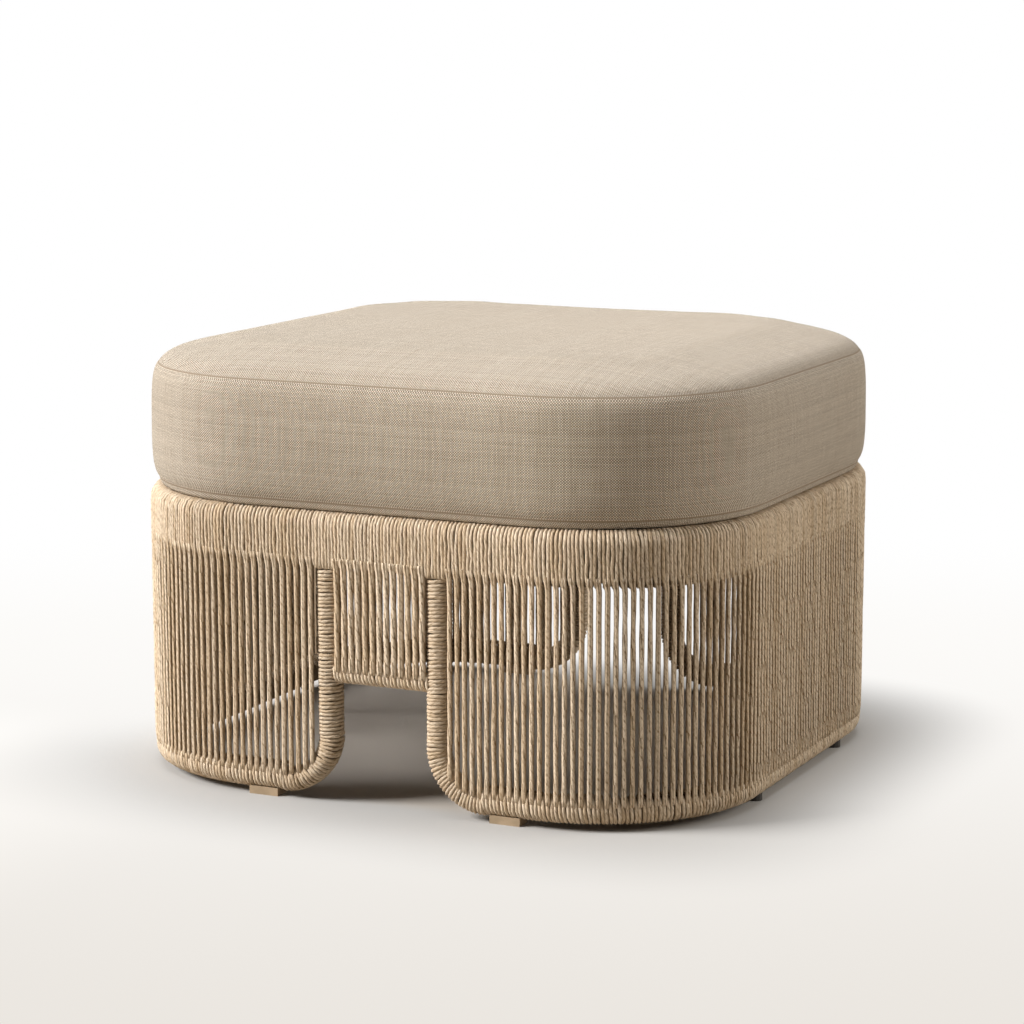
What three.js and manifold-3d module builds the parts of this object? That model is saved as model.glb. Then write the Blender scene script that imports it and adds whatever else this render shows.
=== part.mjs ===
// An outdoor ottoman: a cord-wound aluminium base that carries a loose boxed cushion.
// Millimetres, +Z up. The origin is on the floor under the middle of the base, and the
// front face looks along -Y. The base is symmetrical, so each quarter is made once, as the
// front left one, and turned to the other three by mirroring.
import * as THREE from "three";
import { mergeGeometries, mergeVertices } from "three/addons/utils/BufferGeometryUtils.js";
import Module from "manifold-3d";

// Base outline, measured over the cord
const baseWidth = 660;
const baseDepth = 622;
const cornerRadius = 172;
const cornerFacets = 7;

// Cord and the room left between pieces that touch
const cordDiameter = 3.7;
const clearance = 0.3;
const cutOverrun = 6;

// Top rail, a flat oval tube bent to a ring
const bandTop = 292;
const railHeight = 48.6;
const railThickness = 18;
const railWall = 2;
const railEdge = 8;
const railHollowEdge = 5;
const railEdgeSteps = 1;
const bandEdge = 12;
const bandEdgeSteps = 2;
const ventDiameter = 8;
const ventSides = 6;

// Leg loops, a round tube that runs down a front post, round one side and up the back post
const tubeDiameter = 17;
const tubeWall = 1.5;
const tubeSides = 8;
const tubeBoreSides = 6;
const sleeveBackFaces = 8;
const floorClearance = 5.8;
const postSpacing = 119;
const bendRadius = 51;
const bendFacets = 5;
const postSleeveSides = 12;

// Upright strands of doubled cord between the top rail and the bottom rail
const strandWidth = 5.3;
const strandThickness = 5;
const strandInset = 1.3;
const strandPitch = 7.8;

// Bridge bars between the posts of the front and the back
const bridgeDiameter = 10;
const bridgeHeight = 130;
const bridgeInset = 9.5;
const bridgePitch = 7.2;
const bridgeSides = 8;

// Side posts behind the middle of each side
const sidePostDiameter = 10;
const sidePostSides = 8;

// Deck of flat oblong tubes inside the top rail
const slatCount = 7;
const slatEndGap = 49.6;
const slatWidth = 30;
const slatHeight = 12;
const slatWall = 1.5;
const slatDrop = 8.7;

// Feet and the screws that hold them
const footLength = 32;
const footWidth = 18;
const footHeight = 8;
const glideDiameter = 14;
const glideSides = 12;
const footPostGap = 6;
const footCornerGap = 5;
const screwDiameter = 4;
const screwHeadDiameter = 8;
const screwHeadHeight = 2;
const screwRecess = 1;
const screwReach = 3;
const screwSides = 8;

// Cushion, measured at its seams
const cushionSetback = 6.5;
const cushionCornerEase = 4;
const cushionCornerFacets = 7;
const lowerSeamLift = 7;
const boxingHeight = 116.6;
const crownRise = 25;
const sideBulge = 5.5;
const coverThickness = 2.5;
const seatRim = 7;
const seatSlope = 12;

// The crown as pairs: share of the outline, share of the rise
const crownShares = [[1, 0], [0.985, 0.2], [0.94, 0.48], [0.83, 0.8], [0.55, 0.98]];
const bulgeShares = [[0, 0], [0.18, 0.66], [0.5, 1], [0.82, 0.66], [1, 0]];

// Places that follow from the sizes above
const halfWidth = baseWidth / 2;
const halfDepth = baseDepth / 2;
const bandHeight = railHeight + 2 * cordDiameter;
const bandThickness = railThickness + 2 * cordDiameter;
const bandBottom = bandTop - bandHeight;
const railBottom = bandBottom + cordDiameter;
const tubeInset = tubeDiameter / 2 + cordDiameter;
const tubeHeight = floorClearance + tubeInset;
const postX = postSpacing / 2;
const postY = halfDepth - tubeInset;
const strandTop = bandBottom - clearance;
const bridgeY = halfDepth - bridgeInset;
const bridgeSleeve = bridgeDiameter / 2 + cordDiameter;
const slatTop = bandTop - slatDrop;
const slatSpacing = (baseWidth - 2 * (bandThickness + slatEndGap) - slatWidth) / (slatCount - 1);
const cushionWidth = baseWidth - 2 * cushionSetback;
const cushionDepth = baseDepth - 2 * cushionSetback;
const cushionCorner = cornerRadius + cushionCornerEase;
const lowerSeam = bandTop + lowerSeamLift;
const upperSeam = lowerSeam + boxingHeight;
const quarterTurn = Math.PI / 2;

const wasm = await Module();
wasm.setup();

// A closed geometry as a solid that can be cut and joined
function solid(geometry) {
  const bare = geometry.clone();
  bare.deleteAttribute("normal");
  bare.deleteAttribute("uv");
  const merged = mergeVertices(bare);
  return new wasm.Manifold(
    new wasm.Mesh({
      numProp: 3,
      vertProperties: merged.attributes.position.array,
      triVerts: new Uint32Array(merged.index.array),
    }),
  );
}

function geometryOf(made) {
  const mesh = made.getMesh();
  const flat = new THREE.BufferGeometry();
  flat.setAttribute("position", new THREE.BufferAttribute(mesh.vertProperties, 3));
  flat.setIndex(new THREE.BufferAttribute(mesh.triVerts, 1));
  const geometry = flat.toNonIndexed();
  geometry.computeVertexNormals();
  return geometry;
}

// A tube's centre line as stations: each has its place, its direction of travel and the
// horizontal direction out of the base, which keeps the section from turning.
class Run extends THREE.Curve {
  constructor(stations) {
    super();
    this.stations = stations;
  }
  station(share) {
    return this.stations[Math.round(share * (this.stations.length - 1))];
  }
  getPointAt(share, target = new THREE.Vector3()) {
    return target.copy(this.station(share).place);
  }
  getTangentAt(share, target = new THREE.Vector3()) {
    return target.copy(this.station(share).travel);
  }
  computeFrenetFrames() {
    const tangents = this.stations.map((s) => s.travel.clone());
    const normals = this.stations.map((s) => s.outward.clone());
    const binormals = normals.map((n, i) => tangents[i].clone().cross(n));
    return { tangents, normals, binormals };
  }
}

function station(place, travel, outward) {
  return {
    place: new THREE.Vector3(...place),
    travel: new THREE.Vector3(...travel),
    outward: new THREE.Vector3(...outward),
  };
}

// A regular section with one flat side across the top outer quarter, where strands stand
function cordSection(radius) {
  const points = [new THREE.Vector2(1, 0).rotateAround(new THREE.Vector2(), quarterTurn / 4)];
  const backTurn = (2 * Math.PI - quarterTurn / 2) / sleeveBackFaces;
  for (let i = 0; i < sleeveBackFaces; i++) {
    const turn = (quarterTurn * 3) / 4 + i * backTurn;
    points.push(new THREE.Vector2(Math.cos(turn), Math.sin(turn)));
  }
  return points.map((p) => p.multiplyScalar(radius));
}

function roundSection(radius, sides) {
  const points = [];
  for (let i = 0; i < sides; i++) {
    const turn = ((i + 1 / 2) * 2 * Math.PI) / sides;
    points.push(new THREE.Vector2(radius * Math.cos(turn), radius * Math.sin(turn)));
  }
  return points;
}

function sweep(stations, section, bore) {
  const shape = new THREE.Shape(section);
  if (bore) shape.holes.push(new THREE.Path(bore));
  return new THREE.ExtrudeGeometry(shape, {
    steps: stations.length - 1,
    extrudePath: new Run(stations),
  });
}

// The same stations with both ends drawn back by half the clearance
function trimmed(stations) {
  const run = stations.map((s) => ({ ...s, place: s.place.clone() }));
  run[0].place.addScaledVector(run[0].travel, clearance / 2);
  const last = run[run.length - 1];
  last.place.addScaledVector(last.travel, -clearance / 2);
  return run;
}

function block(low, high) {
  const geometry = new THREE.BoxGeometry(high[0] - low[0], high[1] - low[1], high[2] - low[2]);
  geometry.translate((low[0] + high[0]) / 2, (low[1] + high[1]) / 2, (low[2] + high[2]) / 2);
  return geometry;
}

function uprightRod(x, y, low, high, diameter, sides) {
  const geometry = new THREE.CylinderGeometry(diameter / 2, diameter / 2, high - low, sides);
  geometry.rotateX(quarterTurn);
  geometry.translate(x, y, (low + high) / 2);
  return geometry;
}

// Stations of the front left quarter of a leg loop, in four stretches
const postHead = station([-postX, -postY, railBottom - clearance], [0, 0, -1], [0, -1, 0]);
const bandFoot = station([-postX, -postY, bandBottom - clearance], [0, 0, -1], [0, -1, 0]);
const bendStations = [];
for (let i = 0; i <= bendFacets; i++) {
  const turn = (quarterTurn * i) / bendFacets;
  const x = -postX - bendRadius + bendRadius * Math.cos(turn);
  const z = tubeHeight + bendRadius - bendRadius * Math.sin(turn);
  bendStations.push(station([x, -postY, z], [-Math.sin(turn), 0, -Math.cos(turn)], [0, -1, 0]));
}
const cornerStations = [];
for (let i = 0; i <= cornerFacets; i++) {
  const turn = (quarterTurn * i) / cornerFacets;
  const outward = [-Math.sin(turn), -Math.cos(turn), 0];
  const x = -(halfWidth - cornerRadius) + (cornerRadius - tubeInset) * outward[0];
  const y = -(halfDepth - cornerRadius) + (cornerRadius - tubeInset) * outward[1];
  cornerStations.push(station([x, y, tubeHeight], [outward[1], -outward[0], 0], outward));
}
const sideMiddle = station([-(halfWidth - tubeInset), 0, tubeHeight], [0, 1, 0], [-1, 0, 0]);
const cornerStart = cornerStations[0];
const cornerEnd = cornerStations[cornerFacets];
const quarterRun = [postHead, ...bendStations, ...cornerStations, sideMiddle];

// The quarter run and its mirror image behind it make the whole left loop
function mirroredBack(s) {
  return station(
    [s.place.x, -s.place.y, s.place.z],
    [-s.travel.x, s.travel.y, -s.travel.z],
    [s.outward.x, -s.outward.y, 0],
  );
}
const loopRun = [...quarterRun, ...quarterRun.slice(0, -1).reverse().map(mirroredBack)];

// Rings of the base outline, with square corners drawn as arcs
function outline(inset, width, depth, radius, facets) {
  const points = [];
  for (let corner = 0; corner < 4; corner++) {
    const signX = corner === 0 || corner === 3 ? 1 : -1;
    const signY = corner < 2 ? 1 : -1;
    for (let i = 0; i <= facets; i++) {
      const turn = quarterTurn * (corner + i / facets);
      const x = signX * (width / 2 - radius) + (radius - inset) * Math.cos(turn);
      const y = signY * (depth / 2 - radius) + (radius - inset) * Math.sin(turn);
      points.push(new THREE.Vector2(x, y));
    }
  }
  return points;
}

function baseOutline(inset) {
  return outline(inset, baseWidth, baseDepth, cornerRadius, cornerFacets);
}

function ringSolid(inset, thickness, low, high, edge, edgeSteps) {
  const shape = new THREE.Shape(baseOutline(inset));
  shape.holes.push(new THREE.Path(baseOutline(inset + thickness)));
  const geometry = new THREE.ExtrudeGeometry(shape, {
    depth: high - low - 2 * edge,
    bevelThickness: edge,
    bevelSize: edge,
    bevelOffset: -edge,
    bevelSegments: edgeSteps,
    steps: 1,
  });
  geometry.translate(0, 0, low + edge);
  return solid(geometry);
}

// What the bare frame needs cut out of the cord round it
const frameBore = solid(sweep(quarterRun, roundSection(tubeDiameter / 2 + clearance, tubeSides)));
const sidePostX = halfWidth - tubeInset;
function sidePostRod(spare) {
  const high = railBottom - clearance + spare;
  return solid(uprightRod(-sidePostX, 0, tubeHeight, high, sidePostDiameter + 2 * spare, sidePostSides));
}
function bridgeRod(radius, halfLength) {
  const geometry = new THREE.CylinderGeometry(radius, radius, 2 * halfLength, bridgeSides);
  geometry.rotateZ(quarterTurn);
  geometry.translate(0, -bridgeY, bridgeHeight);
  return solid(geometry);
}
const bridgeBore = bridgeRod(bridgeDiameter / 2 + clearance, postX);
const sidePostBore = sidePostRod(clearance);

// Top rail
function makeTopRail() {
  const railTop = bandTop - cordDiameter;
  const outer = ringSolid(cordDiameter, railThickness, railBottom, railTop, railEdge, railEdgeSteps);
  const hollow = ringSolid(
    cordDiameter + railWall,
    railThickness - 2 * railWall,
    railBottom + railWall,
    railTop - railWall,
    railHollowEdge,
    railEdgeSteps,
  );
  let rail = outer.subtract(hollow);
  for (const x of [-postX, postX]) {
    for (const y of [-postY, postY]) {
      const vent = uprightRod(x, y, railBottom - cutOverrun, railBottom + cutOverrun, ventDiameter, ventSides);
      rail = rail.subtract(solid(vent));
    }
  }
  return rail;
}

function makeLegLoop() {
  const outer = roundSection(tubeDiameter / 2, tubeSides);
  const bore = roundSection(tubeDiameter / 2 - tubeWall, tubeBoreSides);
  return solid(sweep(loopRun, outer, bore)).subtract(screwBores());
}

// Feet of the front left quarter: an oblong pad beside the bend of the post, and a round glide
// on the side by the corner
const footX = postX + bendRadius + footPostGap + footLength / 2;
const footY = halfDepth - cornerRadius - footCornerGap - footLength / 2;
const footPlaces = [
  { name: "face", x: -footX, y: -postY, finish: "foot" },
  { name: "side", x: -sidePostX, y: -footY, finish: "glide" },
];
const screwTop = tubeHeight - tubeDiameter / 2 + tubeWall + screwReach;

function screwProfile(spare) {
  const shank = screwDiameter / 2 + spare;
  const head = screwHeadDiameter / 2 + spare;
  const low = spare ? -cutOverrun : screwRecess;
  const headBore = spare ? [new THREE.Vector2(head, screwRecess + spare)] : [];
  return [
    new THREE.Vector2(0, low),
    new THREE.Vector2(head, low),
    ...headBore,
    new THREE.Vector2(shank, screwRecess + screwHeadHeight + spare),
    new THREE.Vector2(shank, screwTop + spare),
    new THREE.Vector2(0, screwTop + spare),
  ];
}

function screwAt(foot, spare) {
  const geometry = new THREE.LatheGeometry(screwProfile(spare), screwSides);
  geometry.rotateX(quarterTurn);
  geometry.translate(foot.x, foot.y, 0);
  return solid(geometry);
}

function screwBores() {
  const front = footPlaces.map((foot) => screwAt(foot, clearance));
  const back = footPlaces.map((foot) => screwAt({ ...foot, y: -foot.y }, clearance));
  return wasm.Manifold.union([...front, ...back]);
}

function makePad(foot) {
  if (foot.finish === "glide") {
    return uprightRod(foot.x, foot.y, 0, footHeight, glideDiameter, glideSides);
  }
  return block(
    [foot.x - footLength / 2, foot.y - footWidth / 2, 0],
    [foot.x + footLength / 2, foot.y + footWidth / 2, footHeight],
  );
}

function makeFoot(foot) {
  const saddle = sweep(quarterRun, cordSection(tubeInset + clearance));
  return solid(makePad(foot)).subtract(solid(saddle)).subtract(screwAt(foot, clearance));
}

// Strands, as upright bars of the width of the doubled cord
function strandBar(x, y, bottom, turn) {
  const bar = new THREE.BoxGeometry(strandWidth, strandThickness, strandTop - bottom);
  bar.rotateZ(turn);
  bar.translate(x, y, (strandTop + bottom) / 2);
  return bar;
}

const strandOffset = tubeInset - strandInset - strandThickness / 2;

function strandsOnFacet(from, to) {
  const start = from.place.clone().addScaledVector(from.outward, strandOffset);
  const end = to.place.clone().addScaledVector(to.outward, strandOffset);
  const count = Math.max(1, Math.round(start.distanceTo(end) / strandPitch));
  const turn = Math.atan2(end.y - start.y, end.x - start.x);
  const bars = [];
  for (let i = 0; i < count; i++) {
    const at = start.clone().lerp(end, (i + 1 / 2) / count);
    bars.push(strandBar(at.x, at.y, tubeHeight, turn));
  }
  return bars;
}

// Beside a post the strands end on the bend of the tube, so their feet climb it
function bendHeight(x) {
  const across = Math.max(0, x + postX + bendRadius);
  const drop = Math.sqrt(Math.max(0, bendRadius ** 2 - across ** 2));
  return tubeHeight + bendRadius - drop;
}

function strandsByPost() {
  const from = -(halfWidth - cornerRadius);
  const to = -postX - tubeInset;
  const count = Math.round((to - from) / strandPitch);
  const bars = [];
  for (let i = 0; i < count; i++) {
    const x = from + ((to - from) * (i + 1 / 2)) / count;
    bars.push(strandBar(x, -(halfDepth - tubeInset + strandOffset), bendHeight(x), 0));
  }
  return bars;
}

// One length of wound rail with its strands
function panel(stations, bars) {
  const sleeve = solid(sweep(trimmed(stations), cordSection(tubeInset)));
  const screws = footPlaces.map((foot) => screwAt(foot, clearance));
  return sleeve
    .add(solid(mergeGeometries(bars)))
    .subtract(frameBore)
    .subtract(sidePostBore)
    .subtract(wasm.Manifold.union(screws));
}

function makeFacePanel() {
  return panel([...bendStations, cornerStart], strandsByPost());
}

function makeCornerPanel() {
  const bars = cornerStations.slice(1).flatMap((s, i) => strandsOnFacet(cornerStations[i], s));
  return panel(cornerStations, bars);
}

function makeSidePanel() {
  return panel([cornerEnd, sideMiddle], strandsOnFacet(cornerEnd, sideMiddle));
}

function makePostWrap() {
  const stretch = [bandFoot, bendStations[0]];
  stretch[1] = trimmed(stretch)[1];
  const sleeve = solid(sweep(stretch, roundSection(tubeInset, postSleeveSides)));
  return sleeve.subtract(frameBore).subtract(bridgeBore);
}

// Bridge bar with its ends shaped to the posts, and the cord and strands on it
function frameBoreBothSides() {
  return frameBore.add(frameBore.mirror([1, 0, 0]));
}

function makeBridgeBar() {
  return bridgeRod(bridgeDiameter / 2, postX).subtract(frameBoreBothSides());
}

function makeBridgePanel() {
  const halfLength = postX - tubeInset - clearance;
  const count = Math.round((2 * halfLength) / bridgePitch);
  const strandY = -(halfDepth - strandInset - strandThickness / 2);
  const bars = [];
  for (let i = 0; i < count; i++) {
    const x = halfLength * ((2 * i + 1) / count - 1);
    bars.push(strandBar(x, strandY, bridgeHeight, 0));
  }
  return bridgeRod(bridgeSleeve, halfLength)
    .add(solid(mergeGeometries(bars)))
    .subtract(bridgeBore);
}

// Deck slats, cut to the inside of the ring
function slatBox(x, spare) {
  const half = slatWidth / 2 + spare;
  return solid(
    block([x - half, -halfDepth, slatTop - slatHeight - spare], [x + half, halfDepth, slatTop + spare]),
  );
}

function wellWithin(inset) {
  const within = new THREE.Shape(baseOutline(inset));
  return solid(new THREE.ExtrudeGeometry(within, { depth: bandTop, bevelEnabled: false }));
}

function slatX(index) {
  return (index - (slatCount - 1) / 2) * slatSpacing;
}

function makeSlat(index) {
  const tube = slatBox(slatX(index), 0).subtract(slatBox(slatX(index), -slatWall));
  return tube.intersect(wellWithin(cordDiameter + railThickness + clearance));
}

// One quarter of the cord wound round the top rail
function makeBandWrap() {
  const wound = ringSolid(0, bandThickness, bandBottom, bandTop, bandEdge, bandEdgeSteps);
  const bore = ringSolid(
    cordDiameter - clearance,
    railThickness + 2 * clearance,
    railBottom - clearance,
    bandTop - cordDiameter + clearance,
    railEdge,
    railEdgeSteps,
  );
  const quarter = block(
    [-halfWidth - cutOverrun, -halfDepth - cutOverrun, 0],
    [-clearance / 2, -clearance / 2, bandTop + cutOverrun],
  );
  let wrap = wound.subtract(bore).intersect(solid(quarter));
  wrap = wrap.subtract(frameBore).subtract(sidePostBore);
  const insideFace = wellWithin(cordDiameter + railThickness / 2);
  for (let index = 0; index < slatCount; index++) {
    wrap = wrap.subtract(slatBox(slatX(index), clearance).intersect(insideFace));
  }
  return wrap;
}

function makeSidePost() {
  return sidePostRod(0).subtract(frameBore).subtract(frameBore.mirror([0, 1, 0]));
}

// Cushion rings: a share of the seam outline, drawn in by an inset, at a height
function cushionRing(share, inset, height) {
  const width = cushionWidth * share;
  const depth = cushionDepth * share;
  const radius = cushionCorner * share;
  const points = outline(inset, width, depth, radius, cushionCornerFacets);
  return points.map((p) => new THREE.Vector3(p.x, p.y, height));
}

function pole(height) {
  return [new THREE.Vector3(0, 0, height)];
}

// A skin over rings that are stacked upwards or outwards, with a point for each closed end
function skin(rings, closed) {
  const places = rings.flat();
  const starts = [];
  rings.reduce((sum, ring) => (starts.push(sum), sum + ring.length), 0);
  const index = [];
  const last = closed ? rings.length : rings.length - 1;
  for (let i = 0; i < last; i++) {
    const next = (i + 1) % rings.length;
    const count = Math.max(rings[i].length, rings[next].length);
    for (let j = 0; j < count; j++) {
      const a = starts[i] + (rings[i].length > 1 ? j : 0);
      const b = starts[i] + (rings[i].length > 1 ? (j + 1) % count : 0);
      const c = starts[next] + (rings[next].length > 1 ? (j + 1) % count : 0);
      const d = starts[next] + (rings[next].length > 1 ? j : 0);
      if (a !== b) index.push(a, b, c);
      if (c !== d) index.push(a, c, d);
    }
  }
  const geometry = new THREE.BufferGeometry().setFromPoints(places);
  geometry.setIndex(index);
  return geometry;
}

function crownRings(inset, lowering) {
  return crownShares.map(([share, rise]) =>
    cushionRing(share, inset, upperSeam + crownRise * rise - lowering),
  );
}

function makeTopCover() {
  const over = crownRings(0, 0);
  over[0].forEach((p) => (p.z += clearance / 2));
  const under = crownRings(0, coverThickness).slice(2).reverse();
  const rim = cushionRing(1, coverThickness, upperSeam + clearance / 2);
  return skin([pole(upperSeam + crownRise - coverThickness), ...under, rim, ...over,
    pole(upperSeam + crownRise)]);
}

function makeBoxing() {
  const low = lowerSeam + clearance / 2;
  const rise = upperSeam - lowerSeam - clearance;
  const outside = bulgeShares.map(([share, bulge]) => cushionRing(1, -sideBulge * bulge, low + rise * share));
  const inside = [cushionRing(1, coverThickness, low + rise), cushionRing(1, coverThickness, low)];
  return skin([...outside, ...inside], true);
}

// The underside lies on the band and dips inside it to the deck
const bandSeat = bandTop + clearance;
const deckSeat = slatTop + clearance;
const dipInset = bandThickness + seatRim;

function makeBottomCover() {
  const top = lowerSeam - clearance / 2;
  return skin([
    pole(deckSeat),
    cushionRing(1, dipInset + seatSlope, deckSeat),
    cushionRing(1, dipInset - seatRim, bandSeat),
    cushionRing(1, seatRim, bandSeat),
    cushionRing(1, 0, top),
    cushionRing(1, coverThickness, top),
    cushionRing(1, seatRim + coverThickness, bandSeat + coverThickness),
    cushionRing(1, dipInset - seatRim, bandSeat + coverThickness),
    cushionRing(1, dipInset + seatSlope, deckSeat + coverThickness),
    pole(deckSeat + coverThickness),
  ]);
}

function makeFoam() {
  const drawnIn = coverThickness + clearance;
  const under = drawnIn + clearance;
  const crown = crownRings(drawnIn, coverThickness + 2 * clearance).slice(2);
  return skin([
    pole(deckSeat + under),
    cushionRing(1, dipInset + seatSlope, deckSeat + under),
    cushionRing(1, dipInset - seatRim, bandSeat + under),
    cushionRing(1, seatRim + drawnIn + coverThickness, bandSeat + under),
    cushionRing(1, drawnIn, lowerSeam + coverThickness),
    cushionRing(1, drawnIn, upperSeam - clearance),
    ...crown,
    pole(upperSeam + crownRise - coverThickness - 2 * clearance),
  ]);
}

// Finishes
const finishes = {
  cord: { color: "#a8957a", roughness: 0.85, metalness: 0 },
  fabric: { color: "#b3a791", roughness: 0.95, metalness: 0 },
  frame: { color: "#8f8170", roughness: 0.5, metalness: 0.1 },
  foot: { color: "#b59c7c", roughness: 0.6, metalness: 0 },
  glide: { color: "#322d28", roughness: 0.6, metalness: 0 },
  screw: { color: "#b8b8b6", roughness: 0.35, metalness: 1 },
  foam: { color: "#e3dccb", roughness: 1, metalness: 0 },
};

const group = new THREE.Group();

function add(name, geometry, finish) {
  const mesh = new THREE.Mesh(geometry, new THREE.MeshStandardMaterial(finishes[finish]));
  mesh.name = name;
  group.add(mesh);
  return mesh;
}

const quarters = [
  { name: "front_left", x: 1, y: 1 },
  { name: "front_right", x: -1, y: 1 },
  { name: "back_left", x: 1, y: -1 },
  { name: "back_right", x: -1, y: -1 },
];

function addQuarters(suffix, made, finish) {
  const geometry = geometryOf(made);
  for (const quarter of quarters) {
    add(quarter.name + "_" + suffix, geometry, finish).scale.set(quarter.x, quarter.y, 1);
  }
}

function addPair(first, second, made, finish, axis) {
  const geometry = geometryOf(made);
  add(first, geometry, finish);
  add(second, geometry, finish).scale[axis] = -1;
}

add("top_rail", geometryOf(makeTopRail()), "frame");
addPair("left_leg_loop", "right_leg_loop", makeLegLoop(), "frame", "x");
addPair("left_side_post", "right_side_post", makeSidePost(), "frame", "x");
addPair("front_bridge_bar", "back_bridge_bar", makeBridgeBar(), "frame", "y");
for (let index = 0; index < slatCount; index++) {
  add("deck_slat_" + (index + 1), geometryOf(makeSlat(index)), "frame");
}
addQuarters("band_wrap", makeBandWrap(), "cord");
addQuarters("post_wrap", makePostWrap(), "cord");
addQuarters("face_strands", makeFacePanel(), "cord");
addQuarters("corner_strands", makeCornerPanel(), "cord");
addQuarters("side_strands", makeSidePanel(), "cord");
addPair("front_bridge_strands", "back_bridge_strands", makeBridgePanel(), "cord", "y");
for (const foot of footPlaces) {
  addQuarters(foot.name + "_foot", makeFoot(foot), foot.finish);
  addQuarters(foot.name + "_foot_screw", screwAt(foot, 0), "screw");
}
add("cushion_top_cover", makeTopCover(), "fabric");
add("cushion_boxing", makeBoxing(), "fabric");
add("cushion_bottom_cover", makeBottomCover(), "fabric");
add("cushion_foam", makeFoam(), "foam");

export default group;
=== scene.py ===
"""An outdoor footstool, finished for looks: cord wound turn by turn on a metal frame, and a
loose cushion in woven fabric. Metres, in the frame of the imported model: +Z up, the floor at
z = 0, the front facing -Y."""

import math

import bpy
import numpy as np
from mathutils import Matrix, Vector


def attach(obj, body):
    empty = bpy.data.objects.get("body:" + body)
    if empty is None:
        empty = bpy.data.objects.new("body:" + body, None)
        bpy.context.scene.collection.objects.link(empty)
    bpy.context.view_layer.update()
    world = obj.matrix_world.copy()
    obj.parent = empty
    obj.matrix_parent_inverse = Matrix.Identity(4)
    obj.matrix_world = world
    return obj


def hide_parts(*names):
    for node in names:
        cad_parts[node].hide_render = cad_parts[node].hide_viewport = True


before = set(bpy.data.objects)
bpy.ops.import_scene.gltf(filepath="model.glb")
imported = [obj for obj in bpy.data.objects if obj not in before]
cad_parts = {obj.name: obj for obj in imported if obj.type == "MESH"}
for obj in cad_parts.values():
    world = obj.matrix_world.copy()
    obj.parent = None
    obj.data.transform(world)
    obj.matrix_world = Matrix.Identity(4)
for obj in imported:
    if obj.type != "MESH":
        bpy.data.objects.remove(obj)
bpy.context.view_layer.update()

# Camera
# The stool is seen from the front right, a little above the seat, through a long lens, so
# that its upright cords stay parallel.
view_turn, view_rise = math.radians(24.992), math.radians(9.807)
view_distance, aim_height = 3.20315, 0.2463
view_back = Vector(
    (
        math.sin(view_turn) * math.cos(view_rise),
        -math.cos(view_turn) * math.cos(view_rise),
        math.sin(view_rise),
    )
)
camera = bpy.data.objects.new("camera", bpy.data.cameras.new("camera"))
bpy.context.scene.collection.objects.link(camera)
camera.data.sensor_width = 36
camera.data.lens = 106.8
camera.data.shift_x, camera.data.shift_y = -0.0027, 0.0008
camera.location = Vector((0, 0, aim_height)) + view_back * view_distance
camera.rotation_euler = (-view_back).to_track_quat("-Z", "Y").to_euler()
bpy.context.scene.camera = camera
bpy.context.scene.view_settings.view_transform = "Standard"


# Floor, backdrop and light
# A pale sweep that turns white behind the stool, under one broad lamp at the left, a weaker
# one behind the right side, and soft light from overhead.
class Wire:
    """A socket of a node tree: sums of wires add Math nodes, and node() adds any other."""

    def __init__(self, tree, socket=None):
        self.tree = tree
        self.socket = socket

    def node(self, kind, settings=(), sockets=(), out=0):
        made = self.tree.nodes.new(kind)
        for name, value in dict(settings).items():
            if name == "stops":
                ramp = made.color_ramp
                while len(ramp.elements) < len(value):
                    ramp.elements.new(0.5)
                for element, (place, colour) in zip(ramp.elements, value):
                    element.position, element.color = place, (*colour, 1)
            else:
                setattr(made, name, value)
        for name, value in dict(sockets).items():
            self.plug(made, name, value)
        return Wire(self.tree, self.find(made.outputs, out) if len(made.outputs) else None)

    def find(self, sockets, name):
        if isinstance(name, int):
            return sockets[name]
        named = [s for s in sockets if s.identifier == name]
        return (named or [s for s in sockets if s.name == name and s.enabled])[0]

    def plug(self, made, name, value):
        target = self.find(made.inputs, name)
        if isinstance(value, Wire):
            self.tree.links.new(value.socket, target)
        else:
            target.default_value = value

    def other(self, name):
        return Wire(self.tree, self.find(self.socket.node.outputs, name))

    def math(self, operation, *values):
        sockets = {i: v for i, v in enumerate(values)}
        return self.node("ShaderNodeMath", {"operation": operation}, sockets)

    def __add__(self, value):
        return self.math("ADD", self, value)

    def __radd__(self, value):
        return self.math("ADD", value, self)

    def __sub__(self, value):
        return self.math("SUBTRACT", self, value)

    def __rsub__(self, value):
        return self.math("SUBTRACT", value, self)

    def __mul__(self, value):
        return self.math("MULTIPLY", self, value)

    def __rmul__(self, value):
        return self.math("MULTIPLY", value, self)

    def __truediv__(self, value):
        return self.math("DIVIDE", self, value)

    def ramp(self, low, high, to_low=0.0, to_high=1.0):
        sockets = {"Value": self, "From Min": low, "From Max": high}
        sockets |= {"To Min": to_low, "To Max": to_high}
        return self.node("ShaderNodeMapRange", {"interpolation_type": "SMOOTHSTEP"}, sockets)

    def noise(self, place, scale, detail=2.0, seed=0.0):
        sockets = {"Vector": place, "W": seed, "Scale": scale, "Detail": detail}
        return self.node("ShaderNodeTexNoise", {"noise_dimensions": "4D"}, sockets)

    def blend(self, low, high):
        """Goes from the colour low to the colour high as this wire goes from 0 to 1."""
        sockets = {"Factor_Float": self, "A_Color": low, "B_Color": high}
        return self.node("ShaderNodeMix", {"data_type": "RGBA"}, sockets, "Result_Color")


def new_finish(name):
    material = bpy.data.materials.new(name)
    material.use_nodes = True
    material.node_tree.nodes.clear()
    return material, Wire(material.node_tree)


def finish_with(wire, shader):
    wire.node("ShaderNodeOutputMaterial", {}, {"Surface": shader})


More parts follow.
